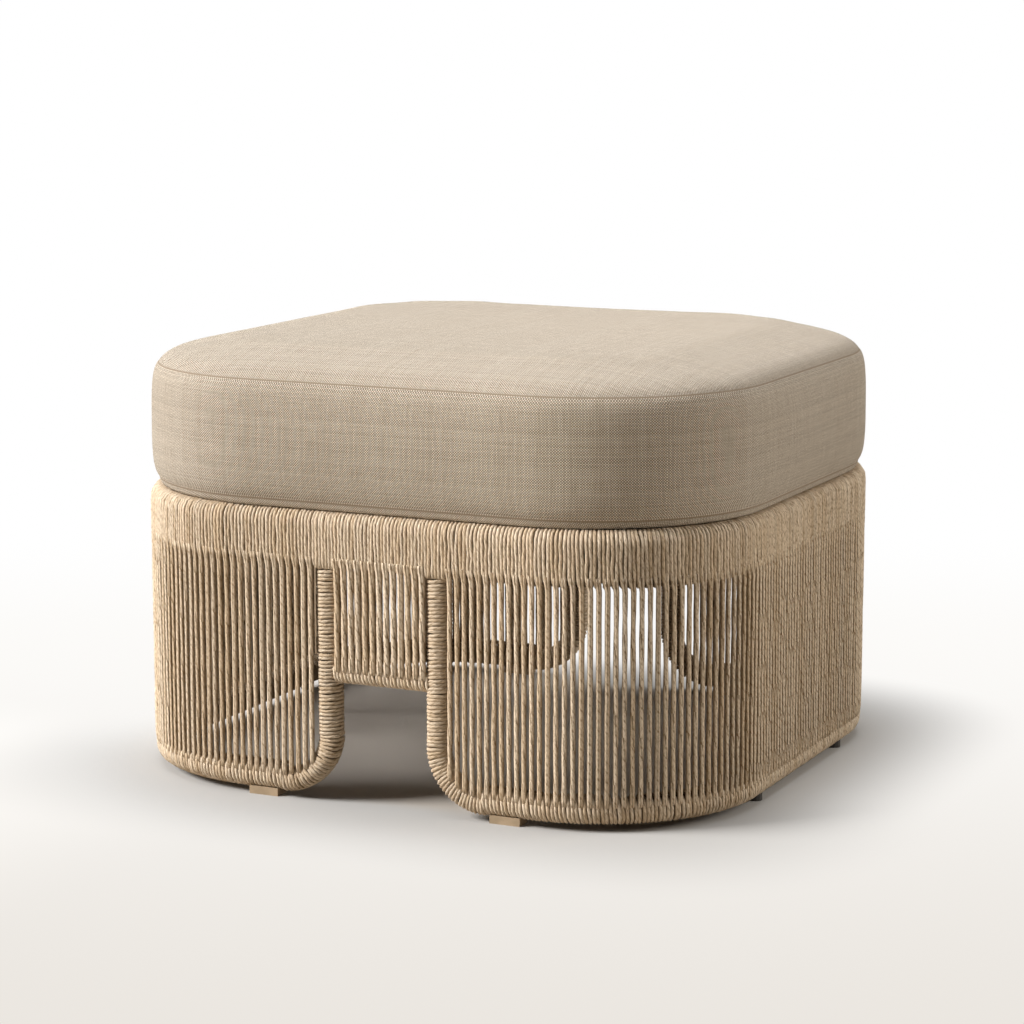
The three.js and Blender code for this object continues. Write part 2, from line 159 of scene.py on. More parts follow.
def seen_directly(wire):
    """1 for what the eye sees, straight or in a gloss or a glass, and 0 for what lights."""
    seen = wire.node("ShaderNodeLightPath", out="Is Camera Ray")
    seen = seen.math("MAXIMUM", seen, seen.other("Is Glossy Ray"))
    glass = wire.node("ShaderNodeLightPath", out="Is Transmission Ray")
    return seen.math("MAXIMUM", seen, glass)


sky_level, sky_colour = 0.07, (1.0, 0.92, 0.82)
lamps = {
    "left lamp": ((-0.70, -0.43, 0.57), 1.55, 24, (1.0, 0.96, 0.90)),
    "right lamp": ((0.79, 0.48, 0.46), 0.45, 30, (1.0, 0.92, 0.80)),
    "top lamp": ((-0.1, 0.1, 1.0), 0.38, 50, (0.97, 0.99, 1.0)),
}
open_light = sky_level * np.array(sky_colour)
for towards, power, width, colour in lamps.values():
    open_light += power * np.array(colour) * Vector(towards).normalized().z
sweep_size = 12.0
shadow_half_width, shadow_half_depth = 0.33, 0.311
floor_finish, w = new_finish("floor")
spot = w.node("ShaderNodeTexCoord", out="Object")
away = w.node(
    "ShaderNodeVectorMath",
    {"operation": "DOT_PRODUCT"},
    {0: spot, 1: (-math.sin(view_turn), math.cos(view_turn), 0)},
    "Value",
)
seen = seen_directly(w)
paper = away.ramp(-1.1, 0.5).blend((0.543, 0.536, 0.532, 1), (0.64, 0.652, 0.674, 1))
across = w.node("ShaderNodeSeparateXYZ", {}, {"Vector": spot})
deep = across.other("Y")
in_front = (deep * -1.0).ramp(0.05, 0.25)
at_left = (across * -1.0).ramp(0.1, 0.35)
across, deep = across * (1 / shadow_half_width), deep * (1 / shadow_half_depth)
across, deep = across * across, deep * deep
beside = across * across + deep * deep
beside = beside.math("POWER", beside, 0.25)
# Painted shadow and light on the floor: up to a fifth darker at and in front of the stool's front,
# fading out further away; a little lighter under the stool; and a little lighter at the front left.
painted_floor_shading = 1.0 - (1.0 - beside.ramp(1.05, 1.62)) * in_front * 0.2
painted_floor_shading = painted_floor_shading * beside.ramp(0.86, 0.97, 1.05, 1.0) * (1.0 + at_left * in_front * 0.06)
paper = w.node("ShaderNodeVectorMath", {"operation": "SCALE"}, {0: paper, "Scale": painted_floor_shading})
# Painted light: the floor in the stool's shade, under its footprint, is tinted warm.
painted_warm_shade = beside.ramp(0.86, 0.97).blend((0.97, 0.91, 0.845, 1), (1, 1, 1, 1))
paper = w.node("ShaderNodeVectorMath", {"operation": "MULTIPLY"}, {0: paper, 1: painted_warm_shade})
lit = seen.blend((0.38, 0.34, 0.285, 1), paper)
matt = w.node("ShaderNodeBsdfDiffuse", {}, {"Color": lit})
# Painted light: away from the stool's footprint the floor seen by the eye is mixed towards a glow
# at its open-lit level, which fades the stool's cast shadow out faster than the lamps do.
level = w.node("ShaderNodeVectorMath", {"operation": "MULTIPLY"}, {0: paper, 1: tuple(open_light)})
glow = w.node("ShaderNodeEmission", {}, {"Color": level, "Strength": 1.0})
white = w.node("ShaderNodeEmission", {}, {"Color": (1, 1, 1, 1), "Strength": 1.0})
softened = (beside + at_left * 0.12).ramp(0.95 + at_left * 0.12, 1.52 - at_left * 0.12) * seen
softened = w.node("ShaderNodeMixShader", {}, {"Fac": softened, 1: matt, 2: glow})
fade = away.ramp(0.35, 1.25) * seen
finish_with(w, w.node("ShaderNodeMixShader", {}, {"Fac": fade, 1: softened, 2: white}))
floor = bpy.data.meshes.new("floor")
floor.from_pydata(
    [(x, y, 0) for x, y in ((-1, -1), (1, -1), (1, 1), (-1, 1))], [], [(0, 1, 2, 3)]
)
floor.transform(Matrix.Diagonal((sweep_size, sweep_size, 1, 1)))
floor.materials.append(floor_finish)
floor = bpy.data.objects.new("floor", floor)
bpy.context.scene.collection.objects.link(floor)

room = bpy.data.worlds.new("room")
room.use_nodes = True
room.node_tree.nodes.clear()
bpy.context.scene.world = room
w = Wire(room.node_tree)
seen = seen_directly(w)
colour = seen.blend((*sky_colour, 1), (1, 1, 1, 1))
strength = seen.ramp(0, 1, sky_level, 1.0)
sky = w.node("ShaderNodeBackground", {}, {"Color": colour, "Strength": strength})
w.node("ShaderNodeOutputWorld", {}, {"Surface": sky})

for name, (towards, power, width, colour) in lamps.items():
    lamp = bpy.data.lights.new(name, "SUN")
    lamp.energy = power * math.pi
    lamp.angle = math.radians(width)
    lamp.color = colour
    lamp = bpy.data.objects.new(name, lamp)
    lamp.rotation_euler = Vector(towards).to_track_quat("Z", "Y").to_euler()
    bpy.context.scene.collection.objects.link(lamp)

# Metal frame
# A ring, two leg loops, side posts, bridge bars and deck slats of aluminium tube, welded and
# then powder coated in one taupe colour. Cord hides most of it.
coat_finish, w = new_finish("powder_coat")
spot = w.node("ShaderNodeTexCoord", out="Object")
grain = w.noise(spot, 900.0, 2.0)
mottle = w.noise(spot, 18.0, 3.0)
colour = mottle.ramp(0.3, 0.7).blend((0.25, 0.20, 0.145, 1), (0.31, 0.25, 0.185, 1))
relief = w.node("ShaderNodeBump", {}, {"Strength": 0.25, "Distance": 0.0004, "Height": grain})
coat = w.node(
    "ShaderNodeBsdfPrincipled",
    {},
    {"Base Color": colour, "Roughness": grain.ramp(0.2, 0.8, 0.45, 0.6), "Normal": relief},
)
finish_with(w, coat)
frame_nodes = ["top_rail", "left_leg_loop", "right_leg_loop", "left_side_post", "right_side_post"]
frame_nodes += ["front_bridge_bar", "back_bridge_bar"] + [f"deck_slat_{n}" for n in range(1, 8)]


def refinish(node, material):
    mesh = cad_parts[node].data
    mesh.materials.clear()
    mesh.materials.append(material)


for node in frame_nodes:
    refinish(node, coat_finish)

# Feet and their screws
# Tan moulded pads under the front and the back and small dark glides under the sides, each
# shaped to the wound rail and held up into it by one steel screw.
pad_finish, w = new_finish("foot_plastic")
spot = w.node("ShaderNodeTexCoord", out="Object")
grain = w.noise(spot, 700.0, 3.0)
streak = w.noise(spot, 60.0, 3.0)
colour = streak.ramp(0.3, 0.7).blend((0.37, 0.28, 0.185, 1), (0.48, 0.365, 0.25, 1))
relief = w.node("ShaderNodeBump", {}, {"Strength": 0.35, "Distance": 0.0004, "Height": grain})
pad = w.node(
    "ShaderNodeBsdfPrincipled",
    {},
    {"Base Color": colour, "Roughness": grain.ramp(0.2, 0.8, 0.5, 0.68), "Normal": relief},
)
finish_with(w, pad)
glide_finish, w = new_finish("glide_plastic")
spot = w.node("ShaderNodeTexCoord", out="Object")
grain = w.noise(spot, 700.0, 3.0)
glide = w.node(
    "ShaderNodeBsdfPrincipled",
    {},
    {
        "Base Color": grain.ramp(0.2, 0.8).blend((0.028, 0.024, 0.02, 1), (0.045, 0.04, 0.034, 1)),
        "Roughness": grain.ramp(0.2, 0.8, 0.5, 0.65),
    },
)
finish_with(w, glide)
steel_finish, w = new_finish("screw_steel")
spot = w.node("ShaderNodeTexCoord", out="Object")
brushed = w.noise(spot, 1500.0, 2.0)
steel = w.node(
    "ShaderNodeBsdfPrincipled",
    {},
    {
        "Base Color": brushed.ramp(0.3, 0.7).blend((0.45, 0.45, 0.44, 1), (0.62, 0.62, 0.6, 1)),
        "Metallic": 1.0,
        "Roughness": brushed.ramp(0.3, 0.7, 0.3, 0.45),
    },
)
finish_with(w, steel)
quarters = {
    "front_left": (1, 1),
    "front_right": (-1, 1),
    "back_left": (1, -1),
    "back_right": (-1, -1),
}
for quarter in quarters:
    for side in ("face", "side"):
        refinish(f"{quarter}_{side}_foot", pad_finish if side == "face" else glide_finish)
        refinish(f"{quarter}_{side}_foot_screw", steel_finish)

# Cord on the top rail
# A two-ply synthetic cord, wound by hand round the flat oval rail: two turns to each strand
# below, and seven over the head of each post. It is what shows as the wide band.
cord_finish, w = new_finish("cord")
ply_lay = 0.0095
along = w.node("ShaderNodeAttribute", {"attribute_name": "along"}, out="Fac")
tone = w.node("ShaderNodeAttribute", {"attribute_name": "tone"}, out="Fac")
side = w.node("ShaderNodeAttribute", {"attribute_name": "side"}, out="Vector")
side_x = w.node("ShaderNodeSeparateXYZ", {}, {"Vector": side})
side_y = side_x.other("Y")
ply_turn = tone * 40.0 - along * (2 * math.pi / ply_lay)
double_sin = side_x * side_y * 2.0
double_cos = side_x * side_x - side_y * side_y
ply = ply_turn.math("SINE", ply_turn) * double_sin + ply_turn.math("COSINE", ply_turn) * double_cos
fibre_place = w.node(
    "ShaderNodeCombineXYZ", {}, {"X": side_x * 1.3, "Y": side_y * 1.3, "Z": along * 110.0}
)
fibre = w.noise(fibre_place, 3.0, 3.0, tone * 30.0)
uneven = w.noise(fibre_place, 0.7, 1.0, tone * 30.0 + 3.0)
# Painted shade: the crease between the cord's two plies is darkened, unevenly, towards the darker
# colour below; the fibre noise adds the cord's own darker and lighter fibres.
ply_crease_shade = ply.ramp(-1.0, -0.4, 1.0, 0.0) * uneven.ramp(0.35, 0.65, 0.35, 1.0)
body = (1.0 - ply_crease_shade) * fibre.ramp(0.3, 0.6, 0.42, 1.0)
flank = w.node("ShaderNodeAttribute", {"attribute_name": "flank"}, out="Fac")
groove = w.node("ShaderNodeAttribute", {"attribute_name": "groove"}, out="Fac")
# Painted shade: the cord is darkened towards a deep brown where its skin faces a neighbouring turn
# or strand (flank), and where it faces the direction set as shut (groove). That direction points
# towards the other ply, into the band, or onto the top and inner side of the wound rail and bars.
# Where no such direction is set, a little of this shade lies all over the cord.
groove_shade = flank.ramp(0.58, 0.98, 0.0, 0.85)
groove_shade = groove_shade.math("MAXIMUM", groove_shade, groove.ramp(-0.15, 0.3, 0.0, 0.85))
shade = tone.node(
    "ShaderNodeValToRGB",
    {
        "stops": [
            (0.0, (0.78, 0.63, 0.46)),
            (0.35, (0.89, 0.745, 0.58)),
            (0.7, (0.94, 0.81, 0.655)),
            (1.0, (0.84, 0.72, 0.58)),
        ]
    },
    {"Fac": tone},
    "Color",
)
darker = w.node(
    "ShaderNodeMix",
    {"data_type": "RGBA", "blend_type": "MULTIPLY"},
    {"Factor_Float": 1.0, "A_Color": shade, "B_Color": (0.42, 0.33, 0.23, 1)},
    "Result_Color",
)
relief = w.node("ShaderNodeBump", {}, {"Strength": 0.7, "Distance": 0.0007, "Height": body})
# The base colour carries the painted shade of the ply creases and of the gaps between cords.
cord = w.node(
    "ShaderNodeBsdfPrincipled",
    {},
    {
        "Base Color": groove_shade.blend(body.blend(darker, shade), (0.20, 0.125, 0.06, 1)),
        "Roughness": body.ramp(0.0, 1.0, 0.85, 0.68),
        "Normal": relief,
        "Specular IOR Level": 0.3,
    },
)
finish_with(w, cord)

half_width, half_depth, corner = 0.330, 0.311, 0.172
post_x, post_room = 0.0595, 0.0122
strand_count = {"bridge": 13, "face": 11, "corner": 33, "side": 18}
bridge_half = 0.047
face_start, face_end = post_x + post_room, half_width - corner


def on_outline(stretch, share):
    """A point on the front left quarter's outline, and the way out of the base there."""
    if stretch == "bridge":
        return (-bridge_half * share, -half_depth), (0.0, -1.0)
    if stretch == "post":
        return (-bridge_half - (face_start - bridge_half) * share, -half_depth), (0.0, -1.0)
    if stretch == "face":
        return (-face_start - (face_end - face_start) * share, -half_depth), (0.0, -1.0)
    if stretch == "side":
        return (-half_width, -(half_depth - corner) * (1 - share)), (-1.0, 0.0)
    turn = math.pi / 2 * share
    out = (-math.sin(turn), -math.cos(turn))
    centre = (-(half_width - corner), -(half_depth - corner))
    return (centre[0] + corner * out[0], centre[1] + corner * out[1]), out


class Stations:
    """Places along a run, each with the directions that a turn or a strand is built on."""

    def __init__(self):
        self.rows = {"place": [], "outward": [], "upward": [], "across": []}

    def add(self, place, outward, upward, **numbers):
        outward, upward = Vector(outward), Vector(upward)
        self.rows["place"].append(place)
        self.rows["outward"].append(outward)
        self.rows["upward"].append(upward)
        self.rows["across"].append(outward.cross(upward))
        for name, value in numbers.items():
            self.rows.setdefault(name, []).append(value)

    def mesh(self, sign_x, sign_y, shared_start=False, shared_end=False):
        """The rows mirrored to a quarter, where one of two quarters has a row that they share."""
        mirror = np.array((sign_x, sign_y, 1.0))
        hand = sign_x * sign_y
        kept = slice(int(shared_start and hand > 0), -1 if shared_end and hand < 0 else None)
        rows = {
            name: np.array(values[kept], float) * (mirror if np.ndim(values[0]) else 1)
            for name, values in self.rows.items()
        }
        rows["across"] *= hand
        mesh = bpy.data.meshes.new("stations")
        mesh.from_pydata([tuple(p) for p in rows.pop("place")], [], [])
        for name, values in rows.items():
            vector = values.ndim == 2
            layer = mesh.attributes.new(name, "FLOAT_VECTOR" if vector else "FLOAT", "POINT")
            values = values.astype(np.float32).ravel()
            layer.data.foreach_set("vector" if vector else "value", values)
        return mesh


def new_tree(name, sizes):
    """A geometry tree with a geometry input and output, and a named input for each size."""
    tree = bpy.data.node_groups.new(name, "GeometryNodeTree")
    tree.interface.new_socket("Geometry", in_out="INPUT", socket_type="NodeSocketGeometry")
    tree.interface.new_socket("Geometry", in_out="OUTPUT", socket_type="NodeSocketGeometry")
    for size, kind in sizes.items():
        tree.interface.new_socket(size, in_out="INPUT", socket_type="NodeSocket" + kind)
    wire = Wire(tree)
    source = wire.node("NodeGroupInput")
    return tree, wire, {s: source.other(s) for s in ["Geometry", *sizes]}


def grow(name, tree, stations, sizes):
    """Runs a tree on a mesh of stations and gives back what it makes as a plain mesh."""
    made = bpy.data.objects.new(name, stations)
    bpy.context.scene.collection.objects.link(made)
    modifier = made.modifiers.new(name, "NODES")
    modifier.node_group = tree
    for item in tree.interface.items_tree:
        if item.in_out == "INPUT" and item.name in sizes:
            modifier[item.identifier] = sizes[item.name]
    ready = made.evaluated_get(bpy.context.evaluated_depsgraph_get())
    mesh = bpy.data.meshes.new_from_object(ready)
    bpy.data.objects.remove(made)
    for layer in [a.name for a in mesh.attributes]:
        if layer not in ("along", "tone", "side", "flank", "groove") and not layer.startswith("."):
            if not mesh.attributes[layer].is_required and layer != "sharp_face":
                mesh.attributes.remove(mesh.attributes[layer])
    return mesh


def named(wire, name, kind="FLOAT_VECTOR"):
    settings = {"data_type": kind}
    return wire.node("GeometryNodeInputNamedAttribute", settings, {"Name": name}, "Attribute")


def keep(wire, geometry, name, value, kind="FLOAT"):
    settings = {"data_type": kind, "domain": "POINT"}
    sockets = {"Geometry": geometry, "Name": name, "Value": value}
    return wire.node("GeometryNodeStoreNamedAttribute", settings, sockets)


def chance(wire, seed):
    """A number from 0 to 1 for each turn or strand."""
    return wire.node(
        "FunctionNodeRandomValue",
        {"data_type": "FLOAT"},
        {"Min_001": 0.0, "Max_001": 1.0, "Seed": seed},
        "Value_001",
    )


def resample(wire, curve, steps):
    sockets = {"Curve": curve, "Count": steps}
    return wire.node("GeometryNodeResampleCurve", {"mode": "COUNT"}, sockets)


def vector_math(wire, operation, a, b):
    if operation == "SCALE":
        return wire.node("ShaderNodeVectorMath", {"operation": operation}, {0: a, "Scale": b})
    return wire.node("ShaderNodeVectorMath", {"operation": operation}, {0: a, 1: b})


def sweep_cord(wire, curve, sizes, scale):
    """The cord's round skin along a curve, with what its finish needs to know."""
    ring = {"Resolution": sizes["Sides"], "Radius": sizes["Cord"] * 0.5}
    ring = wire.node("GeometryNodeCurvePrimitiveCircle", {}, ring)
    spot = wire.node("GeometryNodeInputPosition")
    spot = wire.node("ShaderNodeVectorMath", {"operation": "NORMALIZE"}, {0: spot})
    ring = keep(wire, ring, "side", spot, "FLOAT_VECTOR")
    length = wire.node("GeometryNodeSplineParameter", out="Length")
    curve = keep(wire, curve, "along", length)
    skin = wire.node(
        "GeometryNodeCurveToMesh",
        {},
        {"Curve": curve, "Profile Curve": ring, "Scale": scale, "Fill Caps": True},
    )
    # flank and groove record how far the skin faces a neighbour cord or its shut direction; the
    # cord finish paints shade from them.
    normal = wire.node("GeometryNodeInputNormal")
    for name, direction in (("flank", "across"), ("groove", "shut")):
        pair = {0: normal, 1: named(wire, direction)}
        facing = wire.node("ShaderNodeVectorMath", {"operation": "DOT_PRODUCT"}, pair, "Value")
        if name == "flank":
            facing = facing.math("ABSOLUTE", facing)
        skin = keep(wire, skin, name, facing)
    skin = wire.node("GeometryNodeSetShadeSmooth", {}, {"Geometry": skin, "Shade Smooth": True})
    skin = wire.node("GeometryNodeSetMaterial", {}, {"Geometry": skin, "Material": sizes["Finish"]})
    wire.node("NodeGroupOutput", {}, {"Geometry": skin})


# A turn: one loop of cord round a rail, built on each station and worked loose by hand
turn_tree, w, size = new_tree(
    "cord_turns",
    {
        "Width": "Float",
        "Height": "Float",
        "Corner": "Float",
        "Lower Corner": "Float",
        "Cord": "Float",
        "Sides": "Int",
        "Corner Steps": "Int",
        "Steps": "Int",
        "Lean": "Float",
        "Wander": "Float",
        "Seed": "Int",
        "Finish": "Material",
    },
)
loop = {"Width": size["Width"], "Height": size["Height"]}
loop = w.node("GeometryNodeCurvePrimitiveQuadrilateral", {}, loop)
upper = w.node("ShaderNodeSeparateXYZ", {}, {"Vector": w.node("GeometryNodeInputPosition")}, "Y")
upper = upper.math("GREATER_THAN", upper, 0.0)
loop = w.node(
    "GeometryNodeFilletCurve",
    {"mode": "POLY"},
    {
        "Curve": loop,
        "Radius": size["Lower Corner"] + (size["Corner"] - size["Lower Corner"]) * upper,
        "Count": size["Corner Steps"],
    },
)
loop = resample(w, loop, size["Steps"])
loop = keep(w, loop, "local", w.node("GeometryNodeInputPosition"), "FLOAT_VECTOR")
points = keep(w, size["Geometry"], "tone", chance(w, size["Seed"]))
turns = w.node("GeometryNodeInstanceOnPoints", {}, {"Points": points, "Instance": loop})
turns = w.node("GeometryNodeRealizeInstances", {}, {"Geometry": turns})
local = named(w, "local")
local_x = w.node("ShaderNodeSeparateXYZ", {}, {"Vector": local})
local_y = local_x.other("Y")
tone = named(w, "tone", "FLOAT")
spot = w.node("GeometryNodeInputPosition")
wander = w.noise(spot, 75.0, 1.0, tone * 50.0) - 0.5
swell = w.noise(spot, 55.0, 1.0, tone * 50.0 + 9.0) - 0.5
sideways = wander * size["Wander"] + size["Lean"] * local_y / size["Height"] * 2.0
sideways = sideways + named(w, "merge", "FLOAT") * (local_y * -2.0 / size["Height"]).ramp(0.65, 1.0)
outwards = swell * size["Wander"] * 0.5 - local_x
upwards = local_y - local_y.math("LESS_THAN", local_y, 0.0) * named(w, "longer", "FLOAT")
upwards = upwards + local_y.math("MAXIMUM", local_y, 0.0) * named(w, "taller", "FLOAT")
offset = vector_math(w, "SCALE", named(w, "outward"), outwards)
offset = vector_math(w, "ADD", offset, vector_math(w, "SCALE", named(w, "upward"), upwards))
offset = vector_math(w, "ADD", offset, vector_math(w, "SCALE", named(w, "across"), sideways))
offset = vector_math(w, "SUBTRACT", offset, local)
turns = w.node("GeometryNodeSetPosition", {}, {"Geometry": turns, "Offset": offset})
thick = w.noise(spot, 160.0, 1.0, tone * 50.0 + 4.0) * 0.24 + 0.88
sweep_cord(w, turns, size, thick)

band_low, band_high, band_thick, head_low = 0.2352, 0.292, 0.0254, 0.2328
band_cord, band_edge, band_out = 0.0043, 0.0108, 0.0012
band_centre = (band_low + band_high) / 2
head_turns, pair_squeeze, band_shade, band_lower_edge = 7, 0.0017, 0.1, 0.003
stations = Stations()
turns_by_stretch = {
    "bridge": strand_count["bridge"],
    "post": head_turns,
    "face": 2 * strand_count["face"],
    "corner": 2 * strand_count["corner"],
    "side": 2 * strand_count["side"],
}
for stretch, count in turns_by_stretch.items():
    for i in range(count + (stretch == "side")):
        (x, y), (out_x, out_y) = on_outline(stretch, i / count)
        inward = band_thick / 2 - band_out
        paired = stretch in strand_count and i % 2 == 0
        # shut points into the band, so the cord finish paints shade on the band's inner side.
        stations.add(
            (x - inward * out_x, y - inward * out_y, band_centre),
            (out_x, out_y, 0),
            (0, 0, 1),
            longer=band_low - head_low if stretch == "post" else 0.0,
            merge=-pair_squeeze if paired else 0.0,
            shut=(-band_shade * out_x, -band_shade * out_y, 0),
        )


def add_piece(name, meshes, body, material_slot, *nodes):
    """Joins plain meshes into one piece that rides on a body and stands for CAD nodes."""
    parts = []
    for mesh in meshes:
        part = bpy.data.objects.new(name, mesh)
        bpy.context.scene.collection.objects.link(part)
        parts.append(part)
    if len(parts) > 1:
        with bpy.context.temp_override(
            active_object=parts[0], selected_objects=parts, selected_editable_objects=parts
        ):
            bpy.ops.object.join()
    piece = parts[0]
    piece.name = piece.data.name = name
    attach(piece, body)
    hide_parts(*nodes)
    return piece


for seed, (quarter, signs) in enumerate(quarters.items()):
    mesh = grow(
        quarter + "_band",
        turn_tree,
        stations.mesh(*signs, True, True),
        {
            "Width": band_thick - band_cord,
            "Height": band_high - band_low - band_cord,
            "Corner": band_edge,
            "Lower Corner": band_lower_edge,
            "Cord": band_cord,
            "Sides": 5,
            "Corner Steps": 6,
            "Steps": 22,
            "Lean": 0.0003,
            "Wander": 0.0034,
            "Seed": 11 + seed,
            "Finish": cord_finish,
        },
    )
    add_piece(quarter + "_band_cord", [mesh], "base", "cord", quarter + "_band_wrap")

# Cord on the posts
# The same cord in level turns, tight against each other, from under the band down each post
# to where the tube starts to bend.
tube_inset, tube_height, bend_radius = 0.0122, 0.018, 0.051
turn_radius, post_low = 0.0102, 0.069
post_high, post_turns, post_radius = 0.2338, 44, 0.0112
post_stations = Stations()
for i in range(post_turns):
    z = post_high - (post_high - post_low) * (i + 0.5) / post_turns
    post_stations.add((-post_x, -(half_depth - tube_inset), z), (0, -1, 0), (1, 0, 0))
round_turn = {
    "Width": 2 * turn_radius,
    "Height": 2 * turn_radius,
    "Corner": turn_radius,
    "Lower Corner": turn_radius,
    "Cord": 0.0043,
    "Sides": 5,
    "Corner Steps": 4,
    "Steps": 14,
    "Lean": 0.0012,
    "Wander": 0.0036,
    "Finish": cord_finish,
}
post_turn = {**round_turn, "Width": 2 * post_radius, "Height": 2 * post_radius}
post_turn["Corner"] = post_turn["Lower Corner"] = post_radius
for seed, (quarter, signs) in enumerate(quarters.items()):
    places = post_stations.mesh(*signs)
    mesh = grow(quarter + "_post", turn_tree, places, {**post_turn, "Seed": 21 + seed})
    add_piece(quarter + "_post_cord", [mesh], "base", "cord", quarter + "_post_wrap")

# Cord strands and the wound bottom rail
# The cord runs down from the band twisted in pairs, once round the bottom rail, over it once
# more in between, and up again. Beside the posts the strands end on the bend of the tube.
strand_tree, w, size = new_tree(
    "doubled_strands",
    {
        "Cord": "Float",
        "Sides": "Int",
        "Steps": "Int",
        "Top": "Float",
        "End Spread": "Float",
        "Spread": "Float",
        "Shortest Lay": "Float",
        "Longest Lay": "Float",
        "Wander": "Float",
        "Seed": "Int",
        "Finish": "Material",
    },
)
head_shift, foot_sink, twist_start, twist_margin = 0.0012, 0.62, 0.016, 0.03
lines = []
for ply_side in (-1.0, 1.0):
    line = w.node("GeometryNodeCurvePrimitiveLine", {}, {"Start": (0, 0, 0), "End": (1, 0, 0)})
    lines.append(keep(w, resample(w, line, size["Steps"]), "ply_side", ply_side))
pair = w.node("GeometryNodeJoinGeometry", {}, {"Geometry": lines[0]})
w.tree.links.new(lines[1].socket, pair.socket.node.inputs[0])
pair = keep(w, pair, "local", w.node("GeometryNodeInputPosition"), "FLOAT_VECTOR")
points = keep(w, size["Geometry"], "tone", chance(w, size["Seed"]))
strands = w.node("GeometryNodeInstanceOnPoints", {}, {"Points": points, "Instance": pair})
strands = w.node("GeometryNodeRealizeInstances", {}, {"Geometry": strands})
local = named(w, "local")
share = w.node("ShaderNodeSeparateXYZ", {}, {"Vector": local})
eased = share.math("COSINE", share * math.pi) * -0.5 + 0.5
share = share * 0.4 + eased * 0.6
foot, foot_inset = named(w, "foot", "FLOAT"), named(w, "foot_inset", "FLOAT")
foot_radius, lean = named(w, "foot_radius", "FLOAT"), named(w, "lean", "FLOAT")
tone, ply_side = named(w, "tone", "FLOAT"), named(w, "ply_side", "FLOAT")
drop = (size["Top"] - foot - foot_radius * foot_sink) * share
height = size["Top"] - drop
above = height - foot
paired = drop.ramp(0.003, 0.0125)
spread = size["End Spread"] * (1.0 - paired) + size["Spread"] * paired
lay_chance = (tone * 7.31).math("FRACT", tone * 7.31)
lay = size["Shortest Lay"] + (size["Longest Lay"] - size["Shortest Lay"]) * lay_chance
slack = (tone * 23.7).math("FRACT", tone * 23.7).ramp(0.12, 0.2)
length = size["Top"] - foot - twist_margin
half_turns = length * 2.0 / lay * slack
half_turns = half_turns.math("ROUND", half_turns)
wound = (drop - twist_start) / length
wound = wound.math("MINIMUM", wound.math("MAXIMUM", wound, 0.0), 1.0)
twist = wound * math.pi * half_turns
spot_z = w.node("ShaderNodeCombineXYZ", {}, {"X": height, "Y": 0.0, "Z": 0.0})
loose = drop.ramp(0.008, 0.03)
wander = (w.noise(spot_z, 14.0, 2.0, tone * 90.0) - 0.5) * size["Wander"] * loose
belly = (w.noise(spot_z, 14.0, 2.0, tone * 90.0 + 5.0) - 0.5) * size["Wander"] * loose
sideways = ply_side * spread * twist.math("COSINE", twist) + wander + head_shift * (1.0 - paired)
line_out = drop.ramp(0.006, 0.022, -0.0010, -0.0016) + belly * 0.6
rail_rise = above * lean
rail_left = foot_radius * foot_radius - rail_rise * rail_rise
rail_left = rail_left.math("MAXIMUM", rail_left, 0.0)
rail_out = rail_left.math("SQRT", rail_left) - foot_inset
out = line_out.math("SMOOTH_MAX", line_out, rail_out, 0.003)
out = out + ply_side * spread * twist.math("SINE", twist) * 0.8
# shut points from each ply towards the other, where the cord finish paints shade.
shut = vector_math(w, "SCALE", named(w, "across"), twist.math("COSINE", twist) * ply_side * -1.0)
shut_in = vector_math(w, "SCALE", named(w, "outward"), twist.math("SINE", twist) * ply_side * -1.0)
strands = keep(w, strands, "shut", vector_math(w, "ADD", shut, shut_in), "FLOAT_VECTOR")
offset = vector_math(w, "SCALE", named(w, "outward"), out)
offset = vector_math(w, "ADD", offset, vector_math(w, "SCALE", named(w, "across"), sideways))
offset = vector_math(w, "ADD", offset, vector_math(w, "SCALE", named(w, "upward"), height))
offset = vector_math(w, "SUBTRACT", offset, local)
strands = w.node("GeometryNodeSetPosition", {}, {"Geometry": strands, "Offset": offset})
thick = (above - foot_radius * foot_sink).ramp(0.0, 0.006, 0.66, 1.0)
thick = drop.ramp(0.006, 0.012, 0.88, 1.0) * thick
thick = thick * (w.noise(spot_z, 90.0, 1.0, tone * 90.0 + ply_side) * 0.16 + 0.92)
sweep_cord(w, strands, size, thick)

rail_stations = {"face": Stations(), "corner": Stations(), "side": Stations()}
strand_stations = {"face": Stations(), "corner": Stations(), "side": Stations()}
bend_turns, rise_between, turn_squareness = 22, 0.45, 0.55


def turn_rise(i, out_x, out_y):
    """A turn between two strands stands a little higher, and shade is painted on the cord's top and
    inner side.
    """
    shade_up, shade_in = (0.2, 0.2) if i % 2 else (0.05, 0.25)
    shut = (-shade_in * out_x, -shade_in * out_y, shade_up)
    return {"taller": (i + 1) % 2 * rise_between, "shut": shut}


